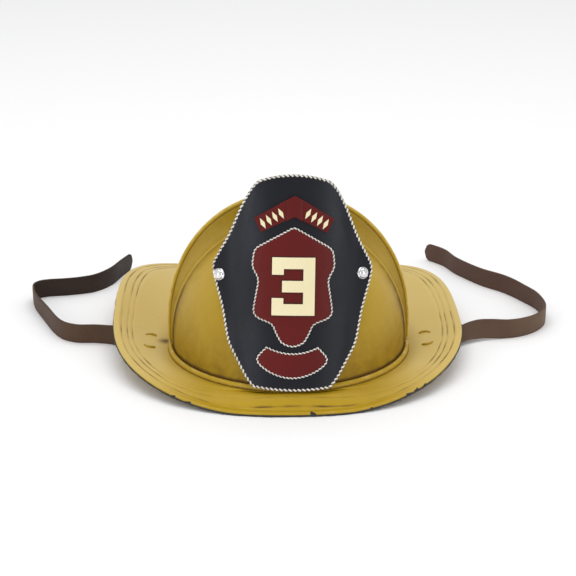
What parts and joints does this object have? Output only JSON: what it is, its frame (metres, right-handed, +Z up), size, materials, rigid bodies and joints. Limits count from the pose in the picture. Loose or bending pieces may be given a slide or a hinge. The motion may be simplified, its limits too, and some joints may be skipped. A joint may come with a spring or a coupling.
{
  "type": "firefighter helmet",
  "caption": "Traditional firefighter helmet: domed crown with a standing comb, wide long-tailed brim, leather front shield, inner liner and two loose chin straps.",
  "frame": {"origin": "middle of the helmet's box, without the straps, on the surface that the brim stands on", "axes": "+Z up; the front shield faces -Y and the brim's long tail points to +Y; +X is the wearer's left"},
  "size_m": [0.4599, 0.3742, 0.1802],
  "materials": {
    "yellow_paint": "worn satin paint",
    "black_rubber": "matt",
    "shield_leather": "dyed, lightly waxed",
    "red_leather": "painted",
    "cream_leather": "painted",
    "white_cord": "twisted cord",
    "chrome": "polished",
    "zinc_steel": "zinc plated, dull",
    "strap_leather": "oiled, worn",
    "liner_plastic": "moulded",
    "sweatband_leather": "natural",
    "cradle_webbing": "woven webbing"
  },
  "bodies": {
    "helmet": {"crown_front": "yellow_paint", "crown_rear": "yellow_paint", "comb_edge_roll": "yellow_paint", "base_bead": "yellow_paint", "brim": "yellow_paint", "brim_edge_bead": "black_rubber", "shield_plate": "shield_leather", "shield_edge_cord": "white_cord", "shield_panel": "red_leather", "shield_panel_cord": "white_cord", "shield_scroll": "red_leather", "shield_scroll_cord": "white_cord", "shield_banner": "red_leather", "shield_numeral": "cream_leather", "shield_screw_left": "chrome", "shield_screw_right": "chrome", "shield_spacer_left": "black_rubber", "shield_spacer_right": "black_rubber", "shield_wedge_washer_left": "black_rubber", "shield_wedge_washer_right": "black_rubber", "shield_nut_left": "zinc_steel", "shield_nut_right": "zinc_steel", "strap_hanger_left": "zinc_steel", "strap_hanger_right": "zinc_steel", "crown_hoop": "zinc_steel", "headband": "liner_plastic", "sweatband": "sweatband_leather", "crown_pad": "sweatband_leather", "liner_clip_1": "zinc_steel", "cradle_strap_1": "cradle_webbing", "hoop_rivet_1": "zinc_steel", "band_rivet_1": "zinc_steel", "liner_clip_2": "zinc_steel", "cradle_strap_2": "cradle_webbing", "hoop_rivet_2": "zinc_steel", "band_rivet_2": "zinc_steel", "liner_clip_3": "zinc_steel", "cradle_strap_3": "cradle_webbing", "hoop_rivet_3": "zinc_steel", "band_rivet_3": "zinc_steel", "liner_clip_4": "zinc_steel", "cradle_strap_4": "cradle_webbing", "hoop_rivet_4": "zinc_steel", "band_rivet_4": "zinc_steel"},
    "left_strap": {"chin_strap_left": "strap_leather", "strap_rivet_left": "zinc_steel"},
    "right_strap": {"chin_strap_right": "strap_leather", "strap_rivet_right": "zinc_steel"}
  },
  "joints": [
    {"name": "left_strap_swing", "type": "hinge", "parent": "helmet", "child": "left_strap", "pos_m": [-0.112, -0.0495, 0.0065], "axis": [0, 1, 0], "range_deg": [-90, 1]},
    {"name": "right_strap_swing", "type": "hinge", "parent": "helmet", "child": "right_strap", "pos_m": [0.112, -0.0495, 0.0065], "axis": [0, -1, 0], "range_deg": [-90, 1]}
  ]
}
